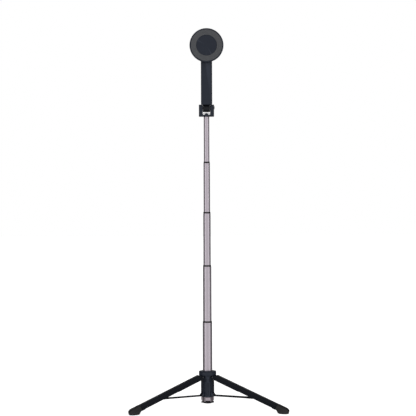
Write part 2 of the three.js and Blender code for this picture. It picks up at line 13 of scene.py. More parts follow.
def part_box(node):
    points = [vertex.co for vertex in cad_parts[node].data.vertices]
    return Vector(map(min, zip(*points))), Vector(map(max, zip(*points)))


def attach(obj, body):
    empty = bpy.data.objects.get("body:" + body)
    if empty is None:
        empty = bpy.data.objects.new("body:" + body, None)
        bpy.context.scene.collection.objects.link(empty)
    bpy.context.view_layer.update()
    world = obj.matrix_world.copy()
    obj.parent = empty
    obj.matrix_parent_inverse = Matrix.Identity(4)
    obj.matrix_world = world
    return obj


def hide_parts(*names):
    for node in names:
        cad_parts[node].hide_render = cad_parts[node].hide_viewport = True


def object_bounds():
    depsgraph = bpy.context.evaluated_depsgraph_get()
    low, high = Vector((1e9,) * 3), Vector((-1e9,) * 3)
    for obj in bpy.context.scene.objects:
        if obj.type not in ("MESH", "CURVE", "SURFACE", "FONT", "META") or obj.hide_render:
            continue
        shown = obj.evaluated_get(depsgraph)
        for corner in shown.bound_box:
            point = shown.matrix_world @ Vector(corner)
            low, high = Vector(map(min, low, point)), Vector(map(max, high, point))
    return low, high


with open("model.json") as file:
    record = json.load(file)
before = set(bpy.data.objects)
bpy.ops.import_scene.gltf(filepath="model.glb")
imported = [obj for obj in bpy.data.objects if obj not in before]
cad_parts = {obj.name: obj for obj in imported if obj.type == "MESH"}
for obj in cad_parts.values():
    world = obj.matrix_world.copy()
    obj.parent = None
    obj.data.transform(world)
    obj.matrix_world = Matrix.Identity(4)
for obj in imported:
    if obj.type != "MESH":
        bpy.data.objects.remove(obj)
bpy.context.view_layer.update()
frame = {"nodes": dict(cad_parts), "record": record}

# ---- Driving dimensions: millimetres and degrees ----

MM = 0.001
ROUND = 128  # steps round a tube or a disc
SMALL_ROUND = 48  # steps round a pin or a screw
SHARP_ANGLE = 32  # edges that turn more than this keep a crisp line
REACH = 1.0  # how far a cutting tool sticks out of what it cuts
FIT = 0.1

TUBE = {"wall": 0.35, "lip": 0.12, "bead_below": 2.4, "bead_half": 0.55, "bead_depth": 0.13}
DIMPLE = {"ball": 1.3, "depth": 0.24}
DIMPLES = {1: [472.0, 468.7], 5: [122.5]}  # heights, by tube
COLLAR_ROUND = 0.45

CORE_BORE = 8.0
HUB = {"flange": 45.6, "crown": 9.6, "chamfer": 0.8, "rim": 1.3, "groove": 0.35, "groove_depth": 0.45}
SHIELD = {"top_half": 5.6, "foot_half": 2.7, "foot": 41.4, "bend": 1.5, "back": 11.45, "front": 12.9}
RIBS = [-90, 30, 150]
SLEEVE = {"core": 8.7, "rib": 11.3, "half": 4.0}
TRIM = {"core": 8.6, "rib": 11.0, "half": 3.9, "foot": 8.9, "slope_top": 4.9}
CAP = {"core": 8.3, "rib": 10.9, "half": 4.4, "plate_top": 2.2, "spigot": 7.6, "spigot_foot": 1.7}
WAIST = {"start": 34.5, "shoulder": 2, "narrow_at": 41, "half": 2.4, "top_half": 3.6}
RECESS = {"bottom": 12.4, "top": 34, "half": 2.15, "floor": 10.4}

LEGS = [-150, -30, 90]
LEG_SLOPE = 20.6
LEG_PIVOT = {"radius": 11.8, "height": 43.3}
LEG = {"half": 6.0, "wall": 1.4, "below": 3.2, "above": 5.4, "skin": 1.2, "length": 124.3, "taper": 0.06}
LEG_LINE = {"height": 0.4, "half": 0.35, "depth": 0.3}
LEG_EDGE = {"inner": 0.3, "outer": 0.35, "crown": 1.8, "roll": 0.3, "drop": 0.2}
WEB_SINK = 0.5  # how far the web at a leg's end goes into the channel's walls
EAR = {"radius": 2.0, "from": 105, "to": 250, "skin_from": 4.0, "ramp": 8.0, "notch": 2.2, "slot": (-4, -5)}
RAIL = {"start": 52, "end": 118, "lift": 0.5}
TANG = {"start": 116, "end": 135, "half": 4.0, "below": 1.5, "above": 1.9}
BOOT = {"start": 124.6, "end": 145.8, "half": 6.6, "below": 7.4, "above": 6.2, "squareness": 0.55}
BOOT_SOCKET = {"end": 135.4, "gap": 0.3}
BOOT_HEEL = {"start": 126.4, "end": 131.0, "below": 4.0}
BOOT_TOE = {"length": 8.25, "steps": 12, "turn": 87.1, "bluntness": 0.75, "flat": 0.25}
# How far along from the boot's mouth, and the share of its full size there.
BOOT_LIP = [(0, 0.955), (0.25, 0.985), (0.8, 1.0), (1.6, 1.0), (2.2, 0.975), (3.0, 0.975), (5.5, 0.99)]
GROUND = {"start": -10, "end": 250, "half": 40}
LEG_PIN = {"radius": 0.8, "bore": 1.0, "head": 1.45, "inside": 6.1, "outside": 6.55}
LUG = {"half": 4.3, "radius": 1.7, "inner": 9.1}

STRUT_PIVOT = {"radius": 12.0, "height": 12.8}
STRUT = {"length": 78.1, "half": 2.5, "thick": 2.4, "eye": 1.6, "bore": 1.1, "outer_bore": 1.3}
STRUT_PIN = {"radius": 0.8, "head": 1.3, "head_end": 4.5}
STRUT_GROOVE = {"from_eye": 8.0, "border": 0.8, "corner": 1.0, "depth": 0.35}
CHEEK = {"root": 8.2, "start": 2.8, "end": 4.2, "radius": 1.6, "gusset_top": 20}
RUNNER = {"axle": 1.0, "axle_end": 4.0, "start": 2.9, "end": 4.3}
SHOE = {"half_length": 3.5, "half_height": 1.6, "corner": 0.9}

TILT = 489.7  # height of the neck's pin
YOKE = {"half": 12.5, "depth": 6.5, "bottom": 474.9, "flat": 1.5, "corner": 2.3, "foot_corner": 1.0}
YOKE_SLOT = {"half": 6.25, "floor": 477.5, "corner": 1.2}
YOKE_BUMP = {"half": 4.3, "peak": 479.9, "depth": 5.3}
YOKE_SPIGOT = 4.0
TILT_PIN = {"radius": 1.6, "bore": 1.9, "start": -12.2, "end": 12.6, "chamfer": 0.3}
TILT_HEAD = {"radius": 3.0, "end": 13.6, "shoulder": 0.8, "flat": 0.45, "socket": 1.155, "socket_depth": 1.2}
TILT_SEAT = {"radius": 3.5, "floor": 12.1}
TILT_NUT = {"radius": 3.0, "pocket": 3.3, "start": -12.4, "end": -10.4, "floor": -10.1, "corner": 0.5}
SPRING = {"half": 5.9, "foot": 477.8, "shoulder": 480.0, "peak": 481.4, "thick": 1.0, "depth": 3.5}

KNUCKLE = {"radius": 7.4, "half": 5.9, "edge": 0.5}
KNUCKLE_WEB = {"start": 5.2, "low": 5.8, "high": 17, "sink": 0.4, "bend": (3, 9)}
NECK = {"start": 3.9, "to_head": 101.5, "corner": 1.8, "bore": 4.6}
NECK_FRAME = {"half": 8.8, "back": 9.0, "front": 11.6}
NECK_COVER = {"half": 9.3, "back": 11.9, "front": 15.5, "shoulder": 13.9, "roll": 1.6, "steps": 8}
NECK_SCREW = {"heights": [22, 72], "radius": 0.9, "bore": 1.2, "skin": 1.5}
SCREW_HEAD = {"radius": 1.9, "sink": 2.2, "thick": 0.9, "rim": 0.35, "slot": (1.1, 0.22), "slot_depth": 0.6}

HEAD_BACK = 16.0  # the disc's back plane is this far in front of the stick's axis
HEAD = {"radius": 28, "rim": 26.4, "seam": 4.4, "front_start": 4.7, "plate": 5.5, "top": 6.7, "wall": 1.5}
PAD_SEAT = {"inner": 16.9, "outer": 26.1, "floor": 6.1}
PAD = {"inner": 17.2, "outer": 25.8, "start": 6.2, "top": 7.1, "grooves": 5, "groove_depth": 0.25}
SWIVEL_SCREW = {"radius": 1.6, "head": 6.0, "start": -9.6, "head_end": -8.2, "end": -3.0, "socket": 1.732}
SWIVEL_SOCKET_DEPTH = 0.9


def box_mm(node):
    low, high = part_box(node)
    return low / MM, high / MM


# ---- Outlines: lists of (x, y) points ----

def arc(centre, radius, start, end, steps=12):
    """Points on a circle from one angle to another, in degrees."""
    angles = [math.radians(start + (end - start) * k / steps) for k in range(steps + 1)]
    return [(centre[0] + radius * math.cos(a), centre[1] + radius * math.sin(a)) for a in angles]


def bow(start, control, end, steps=12):
    """Points on a quadratic curve."""
    points = []
    for k in range(steps + 1):
        t = k / steps
        weights = ((1 - t) ** 2, 2 * t * (1 - t), t * t)
        points.append(tuple(sum(w * p[i] for w, p in zip(weights, (start, control, end))) for i in (0, 1)))
    return points


def fillet(points, radius, steps=5):
    """A closed outline with its corners rounded by one radius, or by one radius for each corner."""
    radii = radius if isinstance(radius, list) else [radius] * len(points)
    corners = [Vector(p) for p in points]
    rounded = []
    for index, (corner, size) in enumerate(zip(corners, radii)):
        back = corners[index - 1] - corner
        ahead = corners[(index + 1) % len(corners)] - corner
        half = back.angle(ahead) / 2
        tangent = min(size / math.tan(half), 0.48 * back.length, 0.48 * ahead.length)
        if tangent < 1e-4 or half > math.radians(88):
            rounded.append(tuple(corner))
            continue
        start = corner + back.normalized() * tangent
        end = corner + ahead.normalized() * tangent
        middle = corner + (back.normalized() + ahead.normalized()).normalized() * (tangent / math.cos(half))
        first = math.atan2(start.y - middle.y, start.x - middle.x)
        last = math.atan2(end.y - middle.y, end.x - middle.x)
        sweep = (last - first + math.pi) % (2 * math.pi) - math.pi
        turned = tangent * math.tan(half)
        rounded += arc(middle, turned, math.degrees(first), math.degrees(first + sweep), steps)
    return rounded


def rectangle(x, y):
    return [(x[0], y[0]), (x[1], y[0]), (x[1], y[1]), (x[0], y[1])]


# ---- Solids: bmesh bodies, in millimetres ----

def prism(outline, low, high):
    """An outline in the XY plane, raised from low to high."""
    solid = bmesh.new()
    floor = [solid.verts.new((x, y, low)) for x, y in outline]
    roof = [solid.verts.new((x, y, high)) for x, y in outline]
    solid.faces.new(reversed(floor))
    solid.faces.new(roof)
    for k in range(len(outline)):
        after = (k + 1) % len(outline)
        solid.faces.new((floor[k], floor[after], roof[after], roof[k]))
    return solid


def lathe(profile, segments=ROUND):
    """A closed outline of (radius, height) points turned about Z."""
    solid = bmesh.new()
    rings = []
    for radius, height in profile:
        steps = range(segments if radius > 1e-6 else 1)
        angles = [2 * math.pi * k / segments for k in steps]
        points = [(radius * math.cos(a), radius * math.sin(a), height) for a in angles]
        rings.append([solid.verts.new(point) for point in points])
    for ring, after in zip(rings, rings[1:] + rings[:1]):
        for k in range(segments):
            corners = [ring[k % len(ring)], ring[(k + 1) % len(ring)]]
            corners += [after[(k + 1) % len(after)], after[k % len(after)]]
            face = list(dict.fromkeys(corners))
            if len(face) > 2:
                solid.faces.new(face)
    return solid


def loft(rings):
    """A skin over closed rings of points, with a cap at each end."""
    solid = bmesh.new()
    rows = [[solid.verts.new(point) for point in ring] for ring in rings]
    for row, after in zip(rows, rows[1:]):
        for k in range(len(row)):
            solid.faces.new((row[k], row[(k + 1) % len(row)], after[(k + 1) % len(row)], after[k]))
    solid.faces.new(reversed(rows[0]))
    solid.faces.new(rows[-1])
    return solid


def moved(solid, *matrices):
    """The solid under each matrix in turn, the last one first, as they are written in a product."""
    for matrix in reversed(matrices):
        solid.transform(matrix)
    return solid


def shift(x=0.0, y=0.0, z=0.0):
    return Matrix.Translation((x, y, z))


def turn(angle, axis):
    return Matrix.Rotation(math.radians(angle), 4, axis)


def across_y(outline, back, front):
    """An outline in the XZ plane, between two places along Y."""
    return moved(prism(outline, -front, -back), turn(90, "X"))


def along_x(outline, low, high):
    """An outline in the YZ plane, running along X."""
    return moved(prism(outline, low, high), turn(90, "Z"), turn(90, "X"))


def block(x, y, z):
    return prism(rectangle(x, y), z[0], z[1])


def rod(radius, low, high, segments=SMALL_ROUND):
    return lathe([(0, low), (radius, low), (radius, high), (0, high)], segments)


def rod_along_y(radius, half):
    return moved(rod(radius, -half, half), turn(90, "X"))


def rod_along_x(radius, low, high):
    return moved(rod(radius, low, high), turn(90, "Y"))


def ball(radius, centre):
    profile = arc((0, 0), radius, -90, 90, 16)
    return moved(lathe([(max(x, 0), y) for x, y in profile], 32), shift(*centre))


def hexagon_along_z(radius, low, high):
    """A hexagonal rod, with the radius out to its corners."""
    return prism(arc((0, 0), radius, 0, 300, 5), low, high)


# ---- Joining, cutting and softening ----

def fill(mesh, solid):
    """Turns the solid's faces outwards and writes it into a mesh."""
    bmesh.ops.recalc_face_normals(solid, faces=solid.faces)
    if solid.calc_volume(signed=True) < 0:
        bmesh.ops.reverse_faces(solid, faces=solid.faces)
    solid.to_mesh(mesh)
    solid.free()


def staged(solid):
    """The solid as a scene object, so that modifiers can work on it."""
    mesh = bpy.data.meshes.new("work")
    fill(mesh, solid)
    obj = bpy.data.objects.new("work", mesh)
    bpy.context.scene.collection.objects.link(obj)
    return obj


def worked(target, helpers=()):
    """What the modifiers make of a staged solid. The staged objects are removed."""
    result = bmesh.new()
    result.from_object(target, bpy.context.evaluated_depsgraph_get())
    for obj in [target, *helpers]:
        mesh = obj.data
        bpy.data.objects.remove(obj)
        bpy.data.meshes.remove(mesh)
    bmesh.ops.remove_doubles(result, verts=result.verts, dist=0.002)
    return result


def combined(solid, tools, operation):
    target = staged(solid)
    helpers = [staged(tool) for tool in tools]
    for helper in helpers:
        modifier = target.modifiers.new("combine", "BOOLEAN")
        modifier.operation = operation
        modifier.solver = "EXACT"
        modifier.object = helper
    return worked(target, helpers)


def join(solid, *tools):
    return combined(solid, tools, "UNION")


def cut(solid, *tools):
    return combined(solid, tools, "DIFFERENCE")


def common(solid, *tools):
    return combined(solid, tools, "INTERSECT")


def soften(solid, width, steps=3, sharper_than=40):
    """The solid with its edges rounded over."""
    bmesh.ops.dissolve_limit(solid, angle_limit=math.radians(0.5), verts=solid.verts, edges=solid.edges)
    target = staged(solid)
    modifier = target.modifiers.new("soften", "BEVEL")
    modifier.width = width
    modifier.segments = steps
    modifier.limit_method = "ANGLE"
    modifier.angle_limit = math.radians(sharper_than)
    modifier.use_clamp_overlap = False
    return worked(target)


def piece(node, solid, body, slot, place=Matrix.Identity(4), finish=None):
    """Makes the piece that stands for a CAD node. It rides on the body and has its slot's finish,
    or one of its own."""
    name = f"{node}_fine"
    mesh = bpy.data.meshes.new(name)
    fill(mesh, solid)
    mesh.transform(Matrix.Scale(MM, 4) @ place)
    mesh.shade_smooth()
    mesh.set_sharp_from_angle(angle=math.radians(SHARP_ANGLE))
    mesh.materials.append(FINISHES[finish or slot])
    obj = bpy.data.objects.new(name, mesh)
    bpy.context.scene.collection.objects.link(obj)
    shading = obj.modifiers.new("even_shading", "WEIGHTED_NORMAL")
    shading.keep_sharp = True
    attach(obj, body)
    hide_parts(node)


# ---- Finishes: procedural materials in object space ----

class Finish:
    """A Principled material and short calls for the texture nodes that feed it."""

    def __init__(self, name, metallic=0.0):
        self.material = bpy.data.materials.new(name)
        self.material.use_nodes = True
        self.tree = self.material.node_tree
        self.shader = self.tree.nodes["Principled BSDF"]
        self.shader.inputs["Metallic"].default_value = metallic
        self.where = self.add("TexCoord").outputs["Object"]

    def add(self, kind, inputs=None, **settings):
        node = self.tree.nodes.new("ShaderNode" + kind)
        for key, value in settings.items():
            setattr(node, key, value)
        for socket, value in (inputs or {}).items():
            self.give(node.inputs[socket], value)
        return node

    def give(self, socket, value):
        """Links a socket to another or sets its value. A colour gets its alpha."""
        if isinstance(value, bpy.types.NodeSocket):
            self.tree.links.new(value, socket)
        elif socket.type == "RGBA":
            socket.default_value = (*value, 1)
        else:
            socket.default_value = value

    def stretched(self, x, y, z):
        return self.add("Mapping", {"Vector": self.where, "Scale": (x, y, z)}).outputs["Vector"]

    def noise(self, scale, where=None, detail=3.0):
        inputs = {"Vector": where or self.where, "Scale": scale, "Detail": detail}
        return self.add("TexNoise", inputs).outputs["Fac"]

    def cells(self, scale):
        return self.add("TexVoronoi", {"Vector": self.where, "Scale": scale}).outputs["Distance"]

    def edges(self, share):
        """How much an outer edge is lightened, from 0 on the flats to share on the edge: rub wear, and on
        the plastics and the legs' paint also a painted highlight along the edges.
        """
        pointiness = self.add("NewGeometry").outputs["Pointiness"]
        return self.levels(pointiness, 0.0, share, 0.51, 0.6)

    def levels(self, value, low, high, from_low=0.3, from_high=0.7):
        inputs = {"Value": value, "To Min": low, "To Max": high}
        inputs.update({"From Min": from_low, "From Max": from_high})
        return self.add("MapRange", inputs).outputs["Result"]

    def tint(self, share, color, other, blend="MIX"):
        """A colour between two, or both added together."""
        wanted = {"Factor": share, "A": color, "B": other}
        node = self.add("Mix", data_type="RGBA", blend_type=blend)
        for socket in node.inputs:
            if socket.enabled and socket.name in wanted:
                self.give(socket, wanted[socket.name])
        return next(socket for socket in node.outputs if socket.enabled)

    def feed(self, socket, value):
        self.tree.links.new(value, self.shader.inputs[socket])

    def color(self, *mix, **settings):
        self.feed("Base Color", self.tint(*mix, **settings))

    def roughness(self, value, low, high):
        self.feed("Roughness", self.levels(value, low, high))

    def bump(self, *layers):
        """Layers of (height, depth in metres), one on the other."""
        normal = None
        for height, depth in layers:
            inputs = {"Height": height, "Distance": depth, "Strength": 1.0}
            if normal is not None:
                inputs["Normal"] = normal
            normal = self.add("Bump", inputs).outputs["Normal"]
        self.feed("Normal", normal)


def satin_tube():
    """Anodised aluminium with the fine lines of drawing along it."""
    finish = Finish("satin_tube", metallic=1.0)
    drawn = finish.noise(2400, finish.stretched(1, 1, 0.012), detail=4)
    clouds = finish.noise(26)
    finish.color(clouds, (0.53, 0.475, 0.53), (0.60, 0.545, 0.60))
    finish.roughness(drawn, 0.27, 0.41)
    finish.bump((drawn, 0.000012), (finish.noise(9000), 0.000004))
    return finish.material


def black_plastic():
    """Fine-textured moulded plastic, its edges painted lighter: a little polish, and a painted highlight."""
    finish = Finish("black_plastic")
    grain = finish.cells(2300)
    smudges = finish.noise(75, detail=5)
    # The edges are painted lighter: part polish wear, part a painted highlight like the light lines on the
    # ribs.
    edge_wear_and_highlight = finish.edges(0.7)
    finish.color(edge_wear_and_highlight, (0.007, 0.008, 0.012), (0.028, 0.031, 0.040))
    finish.roughness(smudges, 0.36, 0.50)
    finish.shader.inputs["Specular IOR Level"].default_value = 0.22
    finish.bump((grain, 0.000035), (finish.noise(700), 0.00002))
    return finish.material


def dark_shell():
    """Slate-coloured satin plastic, its edges painted lighter: some wear, and a painted highlight along the
    ribs.
    """
    finish = Finish("dark_shell")
    smudges = finish.noise(90, detail=5)
    # The edges are painted lighter and bluer: part wear, part a painted highlight.
    edge_wear_and_highlight = finish.edges(0.6)
    shade = finish.tint(smudges, (0.013, 0.0175, 0.030), (0.018, 0.0235, 0.038))
    worn_and_lit_edges = finish.tint(edge_wear_and_highlight, (0, 0, 0), (0.055, 0.062, 0.082))
    finish.color(1.0, shade, worn_and_lit_edges, blend="ADD")
    finish.roughness(smudges, 0.30, 0.42)
    finish.shader.inputs["Specular IOR Level"].default_value = 0.25
    finish.bump((finish.cells(2600), 0.00002), (finish.noise(500), 0.000015))
    return finish.material


def dark_leg():
    """Navy-black paint on metal: a slight orange peel under a thin clear coat."""
    finish = Finish("dark_leg")
    peel = finish.noise(620, detail=2)
    # The edges are painted a little lighter: part rub wear, part a painted highlight along the top edge.
    edge_wear_and_highlight = finish.edges(0.55)
    finish.color(edge_wear_and_highlight, (0.0026, 0.004, 0.008), (0.009, 0.012, 0.020))
    finish.roughness(finish.noise(60, detail=5), 0.30, 0.44)
    finish.shader.inputs["Specular IOR Level"].default_value = 0.09
    finish.shader.inputs["Coat Weight"].default_value = 0.06
    finish.shader.inputs["Coat Roughness"].default_value = 0.22
    finish.bump((peel, 0.00003), (finish.noise(4200), 0.000006))
    return finish.material


def silver_trim():
    """Metal turned on a lathe, with its fine lines round the barrel."""
    finish = Finish("silver_trim", metallic=1.0)
    turned = finish.noise(1, finish.stretched(60, 60, 5200), detail=3)
    finish.color(finish.noise(120), (0.40, 0.355, 0.39), (0.48, 0.43, 0.47))
    finish.roughness(turned, 0.25, 0.42)
    finish.bump((turned, 0.000015))
    return finish.material


def steel():
    """Bright brushed steel."""
    finish = Finish("steel", metallic=1.0)
    brushed = finish.noise(1, finish.stretched(300, 4200, 4200), detail=3)
    finish.color(finish.noise(300), (0.60, 0.61, 0.63), (0.74, 0.75, 0.77))
    finish.roughness(brushed, 0.18, 0.36)
    finish.bump((brushed, 0.00001))
    return finish.material


def blackened_steel():
    """Steel pins with a black oxide skin, worn grey on their edges."""
    finish = Finish("blackened_steel", metallic=1.0)
    finish.color(finish.edges(0.5), (0.055, 0.058, 0.066), (0.22, 0.225, 0.24))
    finish.roughness(finish.noise(1800), 0.30, 0.46)
    finish.bump((finish.noise(5200), 0.000006))
    return finish.material


def nickel():
    """Nickel plating on a magnet."""
    finish = Finish("nickel", metallic=1.0)
    finish.color(finish.noise(200), (0.55, 0.53, 0.50), (0.66, 0.64, 0.60))
    finish.roughness(finish.noise(1500), 0.12, 0.24)
    finish.bump((finish.noise(900), 0.000008))
    return finish.material


def nylon():
    """Matt black nylon of the sliding parts."""
    finish = Finish("nylon")
    finish.color(finish.edges(0.5), (0.006, 0.006, 0.007), (0.03, 0.03, 0.033))
    finish.roughness(finish.noise(900), 0.46, 0.62)
    finish.bump((finish.noise(3000), 0.00002))
    return finish.material


def rubber():
    """Dull stippled rubber, dusty low down."""
    finish = Finish("rubber")
    height = finish.add("SeparateXYZ", {"Vector": finish.where}).outputs["Z"]
    dust = finish.levels(height, 0.35, 0.0, -0.0098, -0.002)
    grain = finish.noise(1300, detail=4)
    finish.color(dust, (0.007, 0.007, 0.008), (0.030, 0.029, 0.028))
    finish.roughness(grain, 0.55, 0.75)
    finish.bump((finish.cells(1500), 0.00006), (grain, 0.00003))
    return finish.material


def silicone():
    """Soft grey silicone with a velvety sheen."""
    finish = Finish("silicone")
    finish.color(finish.noise(220), (0.060, 0.063, 0.070), (0.085, 0.088, 0.096))
    finish.roughness(finish.noise(1400), 0.62, 0.80)
    finish.shader.inputs["Sheen Weight"].default_value = 0.25
    finish.bump((finish.cells(3200), 0.00002))
    return finish.material


MAKERS = [satin_tube, black_plastic, dark_shell, dark_leg, silver_trim, steel, blackened_steel, nickel]
MAKERS += [nylon, rubber, silicone]
FINISHES = {maker.__name__: maker() for maker in MAKERS}


def finish_cad_nodes():
    """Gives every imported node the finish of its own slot."""
    for part in frame["record"]["subparts"]:
        mesh = frame["nodes"][part["node"]].data
        mesh.materials.clear()
        mesh.materials.append(FINISHES[part["material_slot"]])


# ---- Telescopic stick ----

def stage_body(number):
    return "base" if number == 5 else f"stage_{number}"


def tube_solid(number):
    """A thin tube with rolled ends, a bead under its mouth, and its dimples."""
    low, high = box_mm(f"tube_{number}")
    outer = high.x
    inner, dip = outer - TUBE["wall"], outer - TUBE["bead_depth"]
    bead, half = high.z - TUBE["bead_below"], TUBE["bead_half"]
    corners = [(inner, low.z), (outer, low.z)]
    corners += [(outer, bead - half), (dip, bead - half / 3), (dip, bead + half / 3), (outer, bead + half)]
    corners += [(outer, high.z), (inner, high.z)]
    dimples = [
        ball(DIMPLE["ball"], (0, -outer - DIMPLE["ball"] + DIMPLE["depth"], height))
        for height in DIMPLES.get(number, [])
    ]
    solid = lathe(fillet(corners, TUBE["lip"], 3))
    return cut(solid, *dimples) if dimples else solid


def collar_solid(number):
    low, high = box_mm(f"collar_{number}")
    inner = box_mm(f"tube_{number - 1}")[1].x + FIT
    corners = [(inner, low.z), (high.x, low.z), (high.x, high.z), (inner, high.z)]
    return lathe(fillet(corners, [FIT, FIT, COLLAR_ROUND, 2 * FIT]))


def make_stick():
    for number in range(1, 6):
        piece(f"tube_{number}", tube_solid(number), stage_body(number), "satin_tube")
    for number in range(2, 6):
        piece(f"collar_{number}", collar_solid(number), stage_body(number), "nylon")


# ---- Barrel and hub ----

def barrel_plan(sizes):
    """A round core with a rib for each gap between the legs."""
    outer = math.degrees(math.asin(sizes["half"] / sizes["rib"]))
    inner = math.degrees(math.asin(sizes["half"] / sizes["core"]))
    step = 360 / len(RIBS)
    plan = []
    for angle in RIBS:
        plan += arc((0, 0), sizes["rib"], angle - outer, angle + outer, 10)
        plan += arc((0, 0), sizes["core"], angle + inner, angle + step - inner, 16)
    return plan


def core_bore(low, high):
    return rod(CORE_BORE, low - REACH, high + REACH, ROUND)


def waist_cut(side, top):
    """What is cut off one side of the front rib to leave its waist below the hub."""
    start, middle = WAIST["start"], side * WAIST["half"]
    edge, outside = side * SLEEVE["half"], side * (SLEEVE["half"] + REACH)
    inner = bow((edge, start), (middle, start + WAIST["shoulder"]), (middle, WAIST["narrow_at"]))
    inner += bow(inner[-1], (middle, top - REACH), (side * WAIST["top_half"], top + REACH))[1:]
    outline = [(outside, start), *inner, (outside, top + REACH)]
    return across_y(outline, -SLEEVE["rib"] - REACH, -SLEEVE["core"] - FIT)


def rib_recess():
    """The long round-ended recess in the front rib's face."""
    half = RECESS["half"]
    outline = arc((0, RECESS["top"] - half), half, 0, 180)
    outline += arc((0, RECESS["bottom"] + half), half, 180, 360)
    return across_y(outline, -SLEEVE["rib"] - REACH, -RECESS["floor"])


def strut_cheek(side):
    """One of the cheeks that hold a strut's inner end, for a leg along +X."""
    root, pivot = CHEEK["root"], (STRUT_PIVOT["radius"], STRUT_PIVOT["height"])
    outline = [(root, CHEEK["gusset_top"]), (root, pivot[1] - CHEEK["radius"])]
    outline += arc(pivot, CHEEK["radius"], -90, 30)
    return across_y(outline, *sorted([side * CHEEK["start"], side * CHEEK["end"]]))


def pin_bore(pivot, radius):
    return moved(rod_along_y(radius, 2 * LEG["half"]), shift(pivot["radius"], 0, pivot["height"]))


def sleeve_solid():
    """The barrel: recessed ribs with waists under the hub, and cheeks for the struts' pins."""
    low, high = box_mm("barrel_sleeve")
    additions, removals = [], []
    for angle in LEGS:
        around = turn(angle, "Z")
        additions += [moved(strut_cheek(side), around) for side in (-1, 1)]
        removals.append(moved(pin_bore(STRUT_PIVOT, STRUT["bore"]), around))
    for angle in RIBS:
        around = turn(angle - RIBS[0], "Z")
        removals += [moved(waist_cut(side, high.z), around) for side in (-1, 1)]
        removals.append(moved(rib_recess(), around))
    body = prism(barrel_plan(SLEEVE), low.z, high.z)
    outside = soften(cut(join(body, *additions), *removals), 0.35)
    return cut(outside, core_bore(low.z, high.z))


def trim_solid():
    """The silver section, drawn in at its lower end."""
    low, high = box_mm("trim_ring")
    wide = TRIM["rib"] + FIT
    slope = [(0, low.z), (TRIM["foot"], low.z), (wide, TRIM["slope_top"]), (wide, high.z), (0, high.z)]
    body = common(prism(barrel_plan(TRIM), low.z, high.z), lathe(slope))
    return soften(cut(body, core_bore(low.z, high.z)), 0.25, 4)


def cap_solid():
    """A thin plate with a rounded underside and the spigot that fills tube_5."""
    low, high = box_mm("end_cap")
    radius, foot = CAP["spigot"], CAP["spigot_foot"]
    plate = soften(prism(barrel_plan(CAP), low.z, CAP["plate_top"]), 0.4, 4)
    corners = [(0, foot), (radius, foot), (radius, high.z), (0, high.z)]
    return join(plate, lathe(fillet(corners, [0, 0, 0.3, 0])))


def hub_lug():
    """The lug between a leg's ears, for a leg along +X."""
    pivot = (LEG_PIVOT["radius"], LEG_PIVOT["height"])
    top = HUB["flange"] + HUB["chamfer"]
    outline = [(pivot[0] + LUG["radius"], top), (LUG["inner"], top), (LUG["inner"], pivot[1])]
    outline += arc(pivot, LUG["radius"], 180, 360, 20)
    return across_y(outline, -LUG["half"], LUG["half"])


def hub_shield():
    """The tapering front that comes down from the flange over a rib's waist."""
    top, half = HUB["flange"] + REACH, SHIELD["foot_half"]
    right = bow((SHIELD["top_half"], top), (half, top - SHIELD["bend"]), (half, SHIELD["foot"]))
    left = [(-x, z) for x, z in reversed(right)]
    return across_y(right + left, -SHIELD["front"], -SHIELD["back"])


def hub_solid():
    high = box_mm("hub")[1]
    radius, bottom, chamfer = high.x, HUB["flange"], HUB["chamfer"]
    rim = high.z - chamfer - HUB["rim"]
    dip, groove = radius - HUB["groove_depth"], rim - HUB["groove"]
    corners = [(CORE_BORE, bottom), (radius - chamfer, bottom), (radius, bottom + chamfer)]
    corners += [(radius, groove), (dip, groove), (dip, rim), (radius, rim)]
    corners += [(radius, high.z - 2 * chamfer), (radius - chamfer, high.z - chamfer)]
    corners += [(HUB["crown"], high.z), (CORE_BORE, high.z)]
    profile = fillet(corners, [0.2, 0.3, 0.5, 0.1, 0.05, 0.05, 0.1, 0.5, 0.5, 0.4, 0.2], 4)
    additions = [moved(hub_lug(), turn(angle, "Z")) for angle in LEGS]
    additions += [moved(hub_shield(), turn(angle - RIBS[0], "Z")) for angle in RIBS]
    bores = [moved(pin_bore(LEG_PIVOT, LEG_PIN["bore"]), turn(angle, "Z")) for angle in LEGS]
    return soften(cut(join(lathe(profile), *additions), *bores), 0.22, sharper_than=50)


def make_base():
    piece("hub", hub_solid(), "base", "dark_shell")
    piece("barrel_sleeve", sleeve_solid(), "base", "black_plastic", finish="dark_shell")
    piece("trim_ring", trim_solid(), "base", "silver_trim")
    piece("end_cap", cap_solid(), "base", "black_plastic")


# ---- Legs, in a leg's own frame: +X along the leg from its pin, +Z its upper face ----

def leg_section():
    """Half a channel's outline, mirrored: flat skirts, a shadow line on each side and a crowned top."""
    half, below, above = LEG["half"], LEG["below"], LEG["above"]
    inner, outer, crown = LEG_EDGE["inner"], LEG_EDGE["outer"], LEG_EDGE["crown"]
    line, gap, depth = LEG_LINE["height"], LEG_LINE["half"], LEG_LINE["depth"]
    inside = half - LEG["wall"]
    brow = (half - crown, above - LEG_EDGE["drop"])
    right = [(inside, above - LEG["skin"]), (inside, inner - below), (inside + inner, -below)]
    right += [(half - outer, -below), (half, outer - below)]
    right += [(half, line - gap), (half - depth, line - gap / 2)]
    right += [(half - depth, line + gap / 2), (half, line + gap)]
    right += bow((half, above - crown), (half, above - LEG_EDGE["roll"]), brow, 6)
    top = bow(brow, (0, above + LEG_EDGE["drop"]), (-brow[0], brow[1]), 14)[1:-1]
    left = [(-y, z) for y, z in reversed(right)]
    return right + top + left


def leg_channel():
    """The channel from its ears to its end, which grows a little deeper outwards."""
    rings = []
    for x, scale in [(-EAR["radius"], 1.0), (0.0, 1.0), (LEG["length"], 1 + LEG["taper"])]:
        rings.append([(x, y, z * scale) for y, z in leg_section()])
    return loft(rings)


